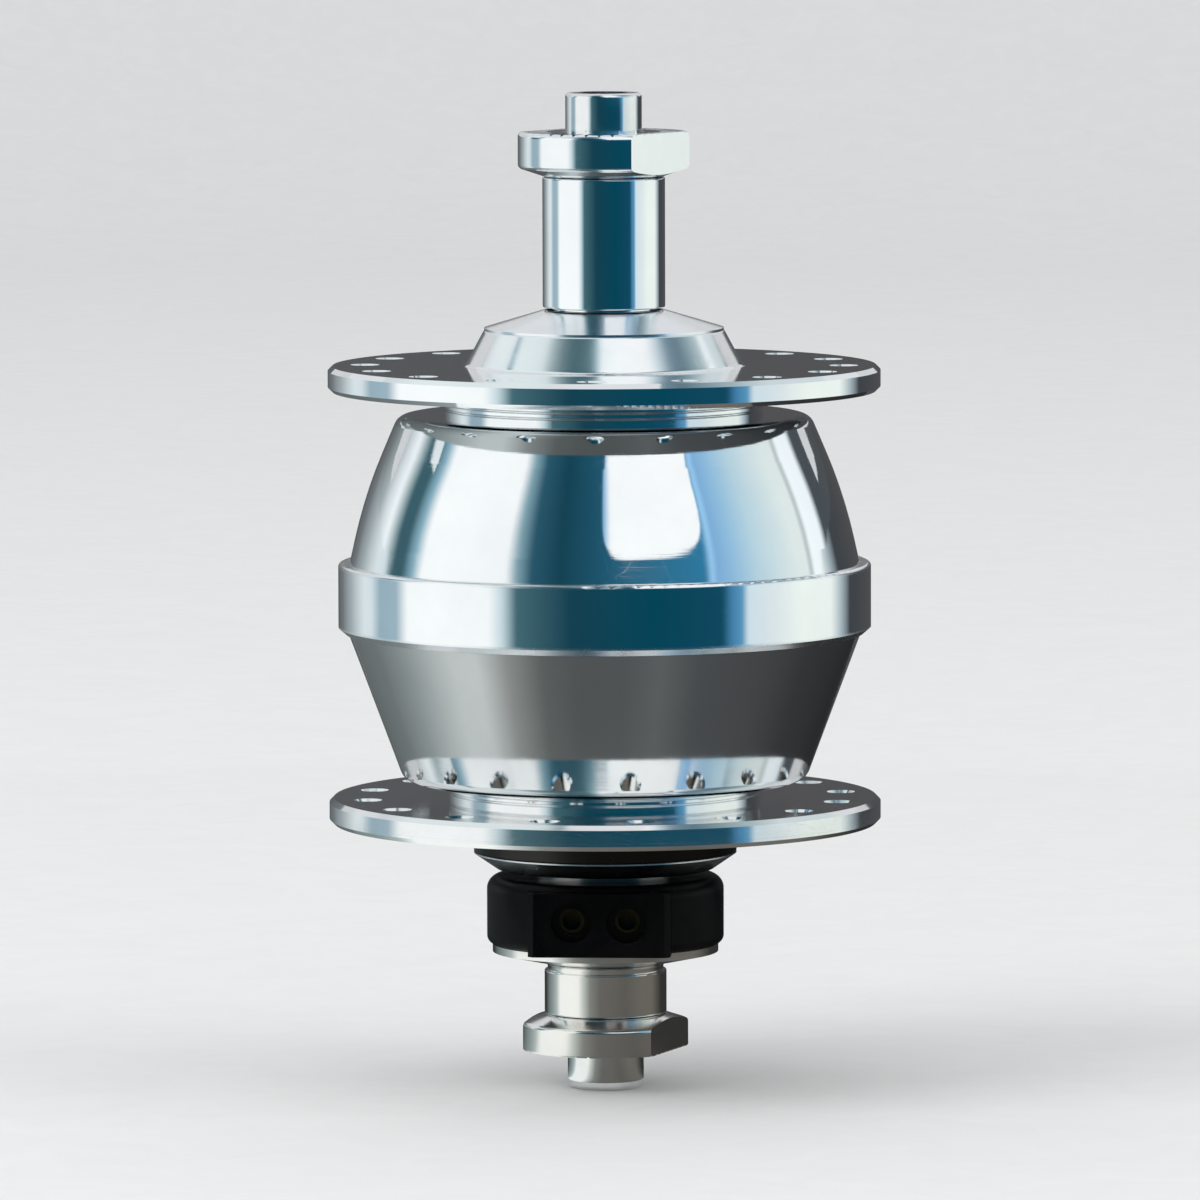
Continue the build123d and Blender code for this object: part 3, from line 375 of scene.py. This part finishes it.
def polished_alloy(name, dark, light, smooth, dull, pitch, depth, duller=(), darker=None):
    """Makes a turned and polished alloy.

    Each duller zone is the height where it starts, the height from which it is full, and the
    roughness that it adds. The darker zone ends with its colour instead.
    """
    made, tree, surface = new_material(name, light, metallic=1.0, roughness=smooth)
    lines = place_group(tree, turning_lines, Pitch=pitch, Waver=0.4)
    marks = place_group(tree, handling_marks, Size=70.0)
    colour = tint(tree, marks.outputs["Smudges"], dark, light, from_low=0.3, from_high=0.65)
    if darker:
        shaded = place_group(tree, height_zone, Start=darker[0], End=darker[1])
        blend = node_in(tree, "ShaderNodeMix", data_type="RGBA")
        tree.links.new(shaded.outputs["Mask"], blend.inputs["Factor"])
        tree.links.new(colour, blend.inputs["A"])
        blend.inputs["B"].default_value = (*darker[2], 1.0)
        colour = blend.outputs["Result"]
    tree.links.new(colour, surface.inputs["Base Color"])
    shine = spread(tree, marks.outputs["Smudges"], dull, smooth, from_low=0.25, from_high=0.6)
    hairline_roughness = 0.06
    shine = add_share(tree, marks.outputs["Hairlines"], hairline_roughness, shine)
    for first_height, full_height, extra in duller:
        brushed = place_group(tree, height_zone, Start=first_height, End=full_height)
        shine = add_share(tree, brushed.outputs["Mask"], extra, shine)
    tree.links.new(shine, surface.inputs["Roughness"])
    raise_surface(tree, surface, lines.outputs["Lines"], strength=depth, distance=0.00001)
    return made


# The cone under the cap and the belt's two edges are duller than the rest. The
# belt's face takes back what its upper edge adds.
cone_zone = (0.0246, 0.0252, 0.11)
belt_edge_zone = (0.00324, 0.0032, 0.16)
belt_face_zone = (0.00278, 0.00274, -0.16)
belt_bevel_zone = (-0.0034, -0.0036, 0.2)
shell_mirror = polished_alloy(
    "shell_mirror", (0.84, 0.86, 0.88), (0.91, 0.93, 0.94),
    smooth=0.035, dull=0.07, pitch=9000.0, depth=0.08,
    duller=(cone_zone, belt_edge_zone, belt_face_zone, belt_bevel_zone),
)
dress(shell_mirror, "hub_shell_right")

# Under the lower flange the boss is painted dark and made duller.
boss_zone = (-0.0251, -0.0257)
boss_dark = (0.035, 0.034, 0.032)
shell_satin = polished_alloy(
    "shell_satin", (0.82, 0.83, 0.84), (0.89, 0.90, 0.90),
    smooth=0.07, dull=0.12, pitch=7000.0, depth=0.12,
    duller=((*boss_zone, 0.16),), darker=(*boss_zone, boss_dark),
)
dress(shell_satin, "hub_shell_left")


# ---- Dust caps ----
# Two thin turned aluminium caps are pressed into the shell over the bearings
# and polished with it.
cap_polish = polished_alloy(
    "cap_polish", (0.80, 0.82, 0.84), (0.88, 0.90, 0.92),
    smooth=0.17, dull=0.25, pitch=8000.0, depth=0.14,
)
dress(cap_polish, "right_dust_cap", "left_dust_cap")


# ---- Spacers ----
# Turned aluminium sleeves carry the clamping load from the bearings to the
# locknuts. The long right one is polished bright; the left ones are plainer.
spacer_polish = polished_alloy(
    "spacer_polish", (0.84, 0.86, 0.88), (0.91, 0.93, 0.94),
    smooth=0.04, dull=0.08, pitch=9000.0, depth=0.08,
)
dress(spacer_polish, "right_spacer")
spacer_plain = polished_alloy(
    "spacer_plain", (0.78, 0.77, 0.75), (0.87, 0.86, 0.84),
    smooth=0.09, dull=0.14, pitch=6000.0, depth=0.16,
)
dress(spacer_plain, "left_spacer", "left_sleeve")


# ---- Connector ----
# A black nylon moulding sits round the left spacer, and its square block
# holds two brass tubes for a two-pole plug. The brass is painted dark, as painted shade deep in the socket
# mouths.
housing_nylon, tree, surface = new_material(
    "housing_nylon", (0.003, 0.003, 0.0035), metallic=0.0, roughness=0.3,
)
surface.inputs["Specular IOR Level"].default_value = 0.07
grains = place_group(tree, moulded_grain, Size=2600.0)
colour_by(tree, surface, grains.outputs["Flow"], (0.002, 0.002, 0.0024), (0.005, 0.005, 0.0055))
roughness_by(tree, surface, grains.outputs["Flow"], 0.26, 0.42)
raise_surface(tree, surface, grains.outputs["Grain"], strength=0.18, distance=0.00002)
dress(housing_nylon, "connector_housing")

# The contact colour is painted shade: the brass is darkened to look like the shaded depth of the socket
# mouths.
contact_brass, tree, surface = new_material(
    "contact_brass", (0.07, 0.05, 0.024), metallic=1.0, roughness=0.34,
)
marks = place_group(tree, handling_marks, Size=500.0)
colour_by(tree, surface, marks.outputs["Smudges"], (0.04, 0.028, 0.014), (0.10, 0.07, 0.034))
roughness_by(tree, surface, marks.outputs["Smudges"], 0.26, 0.42)
dress(contact_brass, "contact_sockets")


# ---- Locknuts ----
# Two round steel nuts, plated bright, clamp the stack on the axle. Their
# outer faces bite into the fork ends.
locknut_plate = polished_alloy(
    "locknut_plate", (0.80, 0.82, 0.84), (0.88, 0.90, 0.91),
    smooth=0.06, dull=0.11, pitch=8000.0, depth=0.12,
)
dress(locknut_plate, "right_locknut")
locknut_worn = polished_alloy(
    "locknut_worn", (0.76, 0.75, 0.73), (0.86, 0.85, 0.83),
    smooth=0.12, dull=0.19, pitch=6000.0, depth=0.2,
)
dress(locknut_worn, "left_locknut")


# ---- Studio ----
# A round pale sweep is floor and backdrop from every side, under an even sky
# and two soft lamps. Glowing sheets stand and lie round the hub, seen only in
# its metal: their tones are painted reflections, set angle by angle round the hub.
def stage_mesh(name, points, faces):
    """Makes an object from points and faces and puts it in the scene."""
    mesh = bpy.data.meshes.new(name)
    mesh.from_pydata(points, [], faces)
    mesh.shade_smooth()
    made = bpy.data.objects.new(name, mesh)
    bpy.context.scene.collection.objects.link(made)
    return made


def turned_sheet(name, profile, first=-180.0, last=180.0, count=96):
    """Turns a line of (reach, height) pairs round the hub between two angles, counted from the camera."""
    points = []
    faces = []
    for step in range(count + 1):
        angle = camera_turn + math.radians(first + (last - first) * step / count)
        for reach, height in profile:
            points.append((reach * math.sin(angle), -reach * math.cos(angle), height))
    rows = len(profile)
    for step in range(count):
        for row in range(rows - 1):
            a = step * rows + row
            faces.append((a, a + rows, a + rows + 1, a + 1))
    return stage_mesh(name, points, faces)


floor_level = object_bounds()[0][2]
floor_reach = 1.5
bend_radius = 0.5
bend_steps = 12
wall_rise = 0.9
sweep_profile = [(0.0001, floor_level), (floor_reach, floor_level)]
for step in range(1, bend_steps + 1):
    bend = math.radians(90.0 * step / bend_steps)
    bend_reach = floor_reach + bend_radius * math.sin(bend)
    sweep_profile.append((bend_reach, floor_level + bend_radius - bend_radius * math.cos(bend)))
sweep_profile.append((floor_reach + bend_radius, floor_level + wall_rise))
sweep = turned_sheet("studio_sweep", sweep_profile)
sweep_paper, tree, surface = new_material("sweep_paper", (0.78, 0.785, 0.79), metallic=0.0, roughness=0.85)
surface.inputs["Specular IOR Level"].default_value = 0.15
fibre = place_group(tree, moulded_grain, Size=40.0)
colour_by(tree, surface, fibre.outputs["Flow"], (0.77, 0.775, 0.78), (0.79, 0.795, 0.80))
sweep.data.materials.append(sweep_paper)


def painted_reflection_glow(name, stops):
    """Makes a glowing sheet of painted reflection, its tones each at its angle from the camera, seen only in
    reflections.
    """
    made = bpy.data.materials.new(name)
    made.use_nodes = True
    made.cycles.emission_sampling = "NONE"
    tree = made.node_tree
    tree.nodes.clear()
    place = tree.nodes.new("ShaderNodeTexCoord")
    turned = node_in(tree, "ShaderNodeMapping", vector_type="TEXTURE")
    turned.inputs["Rotation"].default_value = (0.0, 0.0, camera_turn - math.radians(90.0))
    tree.links.new(place.outputs["Object"], turned.inputs["Vector"])
    sweep_angle = node_in(tree, "ShaderNodeTexGradient", gradient_type="RADIAL")
    tree.links.new(turned.outputs["Vector"], sweep_angle.inputs["Vector"])
    ramp = tree.nodes.new("ShaderNodeValToRGB")
    ramp.color_ramp.elements.remove(ramp.color_ramp.elements[1])
    ramp.color_ramp.elements[0].position = 0.0
    ramp.color_ramp.elements[0].color = (*stops[0][1], 1.0)
    for angle, colour in stops[1:]:
        stop = ramp.color_ramp.elements.new((angle + 180.0) / 360.0)
        stop.color = (*colour, 1.0)
    tree.links.new(sweep_angle.outputs["Fac"], ramp.inputs["Fac"])
    # The sheet glows with its painted reflection tones, though it is no lamp.
    glow = tree.nodes.new("ShaderNodeEmission")
    tree.links.new(ramp.outputs["Color"], glow.inputs["Color"])
    glow.inputs["Strength"].default_value = 1.05
    end = tree.nodes.new("ShaderNodeOutputMaterial")
    tree.links.new(glow.outputs["Emission"], end.inputs["Surface"])
    return made


def only_in_metal(board, paper):
    """Hides a glowing sheet of painted reflection from everything but reflections."""
    board.data.materials.append(paper)
    board.visible_camera = False
    board.visible_diffuse = False
    board.visible_shadow = False
    board.visible_transmission = False


# Painted reflection tones for the belt, on a glowing sheet seen only in the metal.
belt_painted_reflection = painted_reflection_glow("belt_painted_reflection", [
    (-180, (0.085, 0.085, 0.09)),
    (-166, (0.10, 0.11, 0.115)),
    (-152, (0.16, 0.18, 0.19)),
    (-138, (0.36, 0.41, 0.43)),
    (-123, (0.72, 0.80, 0.82)),
    (-117, (0.70, 0.78, 0.81)),
    (-110, (0.32, 0.45, 0.52)),
    (-98, (0.34, 0.47, 0.54)),
    (-91, (0.98, 1.0, 1.0)),
    (-49, (0.98, 1.0, 1.0)),
    (-43, (0.60, 0.74, 0.78)),
    (-37, (0.06, 0.15, 0.18)),
    (-14, (0.008, 0.055, 0.085)),
    (20, (0.002, 0.06, 0.10)),
    (50, (0.006, 0.068, 0.12)),
    (54, (0.06, 0.22, 0.40)),
    (59, (0.10, 0.32, 0.52)),
    (62, (0.66, 0.78, 0.84)),
    (76, (0.76, 0.83, 0.84)),
    (91, (0.88, 0.94, 0.88)),
    (111, (0.86, 0.92, 0.88)),
    (120, (0.38, 0.46, 0.50)),
    (128, (0.05, 0.058, 0.065)),
    (150, (0.07, 0.07, 0.075)),
    (180, (0.085, 0.085, 0.09)),
])
# Painted reflection tones for the barrel, on glowing sheets seen only in the metal.
barrel_painted_reflection = painted_reflection_glow("barrel_painted_reflection", [
    (-180, (0.085, 0.085, 0.09)),
    (-166, (0.10, 0.11, 0.115)),
    (-150, (0.17, 0.20, 0.21)),
    (-135, (0.37, 0.42, 0.43)),
    (-127, (0.68, 0.73, 0.76)),
    (-120, (0.90, 0.95, 0.97)),
    (-113, (0.30, 0.40, 0.42)),
    (-109, (0.045, 0.115, 0.145)),
    (-102, (0.045, 0.115, 0.145)),
    (-95, (0.26, 0.45, 0.55)),
    (-89, (0.98, 1.0, 1.0)),
    (-45, (0.98, 1.0, 1.0)),
    (-40, (0.24, 0.40, 0.46)),
    (-33, (0.024, 0.10, 0.15)),
    (-20, (0.008, 0.058, 0.09)),
    (-8, (0.012, 0.08, 0.13)),
    (46, (0.03, 0.20, 0.36)),
    (49, (0.34, 0.62, 0.90)),
    (52, (0.22, 0.44, 0.70)),
    (60, (0.30, 0.53, 0.74)),
    (72, (0.48, 0.66, 0.75)),
    (96, (0.75, 0.83, 0.81)),
    (103, (0.76, 0.83, 0.81)),
    (105, (0.40, 0.46, 0.48)),
    (108, (0.92, 0.98, 1.0)),
    (118, (0.88, 0.95, 0.98)),
    (122, (0.065, 0.08, 0.09)),
    (180, (0.085, 0.085, 0.09)),
])
# Painted reflection tones for the top of the barrel and the cap, on glowing sheets seen only in the metal.
high_painted_reflection = painted_reflection_glow("high_painted_reflection", [
    (-180, (0.10, 0.10, 0.11)),
    (-134, (0.60, 0.64, 0.66)),
    (-120, (0.78, 0.84, 0.86)),
    (-84, (0.76, 0.83, 0.84)),
    (-66, (0.70, 0.78, 0.80)),
    (-56, (0.30, 0.40, 0.42)),
    (-45, (0.12, 0.19, 0.22)),
    (-34, (0.06, 0.13, 0.155)),
    (-15, (0.09, 0.17, 0.20)),
    (-9, (0.26, 0.44, 0.50)),
    (-3, (0.94, 0.99, 1.0)),
    (48, (1.0, 1.0, 1.0)),
    (58, (0.64, 0.74, 0.80)),
    (70, (0.17, 0.26, 0.32)),
    (82, (0.12, 0.19, 0.24)),
    (92, (0.22, 0.32, 0.36)),
    (104, (0.40, 0.50, 0.53)),
    (114, (0.64, 0.72, 0.74)),
    (132, (0.64, 0.72, 0.74)),
    (142, (0.12, 0.12, 0.13)),
    (180, (0.10, 0.10, 0.11)),
])

# The belt, spacers and nuts show a glowing sheet on the outer floor and the foot of the wall, whose tones are
# painted reflections.
wall_reach = 0.34
belt_reflection_top = 0.05
cone_reflection_reach = 0.25
belt_profile = [
    (cone_reflection_reach, floor_level + 0.001),
    (wall_reach - 0.01, floor_level + 0.001),
    (wall_reach, floor_level + 0.01),
    (wall_reach, belt_reflection_top),
]
belt_reflection_sheet = turned_sheet("belt_reflection_sheet", belt_profile, count=144)
only_in_metal(belt_reflection_sheet, belt_painted_reflection)

# The upper barrel shows glowing sheets on the wall above that, up to a height that differs round
# the hub, and the cone under the cap shows the rest of the wall and the lid, all with
# painted reflection tones. Behind the hub there is only a low glowing sheet, and the sweep shows above it.
lid_reach = 0.12
lid_level = 0.505
lid_foot = 0.5
rear_top = 0.1
# Each sector is its first angle, its last angle and the height between the two.
reflection_sectors = (
    (-132, -100, 0.154),
    (-100, -60, 0.265),
    (-60, 54, 0.31),
    (54, 78, 0.26),
    (78, 116, 0.225),
    (116, 132, 0.15),
    (132, 228, 0.075),
)
for number, (first, last, top) in enumerate(reflection_sectors, 1):
    count = (last - first) // 2
    barrel_profile = [(wall_reach, belt_reflection_top), (wall_reach, top)]
    barrel_reflection_sheet = turned_sheet(f"barrel_reflection_sheet_{number}", barrel_profile, first, last, count)
    only_in_metal(barrel_reflection_sheet, barrel_painted_reflection)
    if top > rear_top:
        high_profile = [(wall_reach, top), (wall_reach, lid_foot), (lid_reach, lid_level)]
        high_reflection_sheet = turned_sheet(f"high_reflection_sheet_{number}", high_profile, first, last, count)
        only_in_metal(high_reflection_sheet, high_painted_reflection)

# Painted reflection tones for the foot of the hub, mostly painted shade of the floor, seen only in the metal.
foot_painted_reflection = painted_reflection_glow("foot_painted_reflection", [
    (-180, (0.03, 0.03, 0.032)),
    (-142, (0.04, 0.045, 0.05)),
    (-128, (0.15, 0.19, 0.19)),
    (-112, (0.28, 0.34, 0.34)),
    (-100, (0.44, 0.51, 0.51)),
    (-90, (0.94, 0.98, 0.96)),
    (-50, (0.98, 1.0, 0.97)),
    (-40, (0.56, 0.61, 0.58)),
    (-28, (0.24, 0.25, 0.235)),
    (-10, (0.145, 0.143, 0.134)),
    (10, (0.14, 0.135, 0.124)),
    (35, (0.12, 0.115, 0.105)),
    (65, (0.15, 0.143, 0.128)),
    (92, (0.15, 0.142, 0.125)),
    (106, (0.09, 0.086, 0.078)),
    (122, (0.035, 0.035, 0.033)),
    (180, (0.03, 0.03, 0.032)),
])

# The left spacer, nut and axle end show a glowing sheet lying on the floor close to the hub, whose tones are
# a painted reflection of a darker, shaded floor.
low_reflection_level = floor_level + 0.0008
foot_reflection_reach = 0.048
foot_profile = [(0.0045, low_reflection_level), (foot_reflection_reach, low_reflection_level), (foot_reflection_reach, -0.0428)]
foot_reflection_sheet = turned_sheet("foot_reflection_sheet", foot_profile)
only_in_metal(foot_reflection_sheet, foot_painted_reflection)

# Painted reflection tones for the lower barrel, seen only in the metal.
cone_painted_reflection = painted_reflection_glow("cone_painted_reflection", [
    (-180, (0.05, 0.05, 0.055)),
    (-158, (0.12, 0.135, 0.135)),
    (-125, (0.16, 0.185, 0.19)),
    (-102, (0.26, 0.30, 0.30)),
    (-88, (0.38, 0.42, 0.42)),
    (-72, (0.54, 0.58, 0.57)),
    (-58, (0.55, 0.59, 0.58)),
    (-43, (0.26, 0.275, 0.27)),
    (-27, (0.115, 0.125, 0.122)),
    (-12, (0.088, 0.096, 0.096)),
    (8, (0.088, 0.096, 0.096)),
    (24, (0.11, 0.12, 0.12)),
    (42, (0.072, 0.078, 0.08)),
    (72, (0.062, 0.065, 0.067)),
    (102, (0.036, 0.038, 0.04)),
    (150, (0.022, 0.023, 0.025)),
    (180, (0.05, 0.05, 0.055)),
])

# The lower barrel shows a glowing sheet lying on the floor beyond that, whose tones are a painted reflection
# of a darker, shaded floor.
cone_profile = [(foot_reflection_reach, low_reflection_level), (cone_reflection_reach, low_reflection_level)]
cone_reflection_sheet = turned_sheet("cone_reflection_sheet", cone_profile)
only_in_metal(cone_reflection_sheet, cone_painted_reflection)

# The white patch on the barrel is a painted reflection of a square light with rounded corners: a glowing
# sheet hung to the right of the camera, seen only in the metal, with a blue painted edge at its left end.
softbox_reach = 0.32
softbox_turn = 23.0
softbox_half_turn = 24.0
softbox_middle = 0.2075
softbox_half_height = 0.0925
softbox_squareness = 5
softbox_steps = 40
softbox_points = []
for step in range(softbox_steps + 1):
    side = math.cos(math.pi * step / softbox_steps)
    half_height = softbox_half_height * (1.0 - abs(side) ** softbox_squareness) ** (1.0 / softbox_squareness)
    turn = camera_turn + math.radians(softbox_turn - softbox_half_turn * side)
    for height in (softbox_middle - half_height, softbox_middle + half_height):
        softbox_points.append((softbox_reach * math.sin(turn), -softbox_reach * math.cos(turn), height))
softbox_faces = [(2 * step, 2 * step + 2, 2 * step + 3, 2 * step + 1) for step in range(softbox_steps)]
# This glowing sheet is no lamp; it only paints the softbox's reflection in the metal.
softbox = stage_mesh("softbox_reflection_sheet", softbox_points, softbox_faces)
softbox_painted_reflection = painted_reflection_glow("softbox_painted_reflection", [
    (-180, (0.10, 0.36, 0.62)),
    (-1, (0.10, 0.36, 0.62)),
    (3, (0.98, 1.0, 1.0)),
    (180, (1.0, 1.0, 1.0)),
])
only_in_metal(softbox, softbox_painted_reflection)


def soft_lamp(name, angle, height, reach, size, power):
    """Hangs a square soft lamp and points it at the hub."""
    light = bpy.data.lights.new(name, "AREA")
    light.shape = "SQUARE"
    light.size = size
    light.energy = power
    lamp = bpy.data.objects.new(name, light)
    turn = camera_turn + math.radians(angle)
    lamp.location = (reach * math.sin(turn), -reach * math.cos(turn), height)
    lamp.rotation_mode = "QUATERNION"
    lamp.rotation_quaternion = (-Vector(lamp.location)).to_track_quat("-Z", "Y")
    lamp.visible_camera = False
    lamp.visible_glossy = False
    bpy.context.scene.collection.objects.link(lamp)


soft_lamp("lamp_left", angle=-55.0, height=0.9, reach=1.0, size=0.8, power=6.0)
soft_lamp("lamp_right", angle=70.0, height=0.7, reach=1.1, size=0.8, power=3.0)

world = bpy.data.worlds.new("studio_air")
bpy.context.scene.world = world
world.use_nodes = True
tree = world.node_tree
tree.nodes.clear()
seen = tree.nodes.new("ShaderNodeBackground")
seen.inputs["Color"].default_value = (0.78, 0.80, 0.82, 1.0)
seen.inputs["Strength"].default_value = 1.0
lighting = tree.nodes.new("ShaderNodeBackground")
lighting.inputs["Color"].default_value = (1.0, 1.0, 1.0, 1.0)
lighting.inputs["Strength"].default_value = 0.9
path = tree.nodes.new("ShaderNodeLightPath")
shown = node_in(tree, "ShaderNodeMath", operation="MAXIMUM")
tree.links.new(path.outputs["Is Camera Ray"], shown.inputs[0])
tree.links.new(path.outputs["Is Glossy Ray"], shown.inputs[1])
clear = node_in(tree, "ShaderNodeMath", operation="MAXIMUM")
tree.links.new(shown.outputs["Value"], clear.inputs[0])
tree.links.new(path.outputs["Is Transmission Ray"], clear.inputs[1])
choose = tree.nodes.new("ShaderNodeMixShader")
tree.links.new(clear.outputs["Value"], choose.inputs["Fac"])
tree.links.new(lighting.outputs["Background"], choose.inputs[1])
tree.links.new(seen.outputs["Background"], choose.inputs[2])
end = tree.nodes.new("ShaderNodeOutputWorld")
tree.links.new(choose.outputs["Shader"], end.inputs["Surface"])

bpy.context.scene.view_settings.view_transform = "Standard"
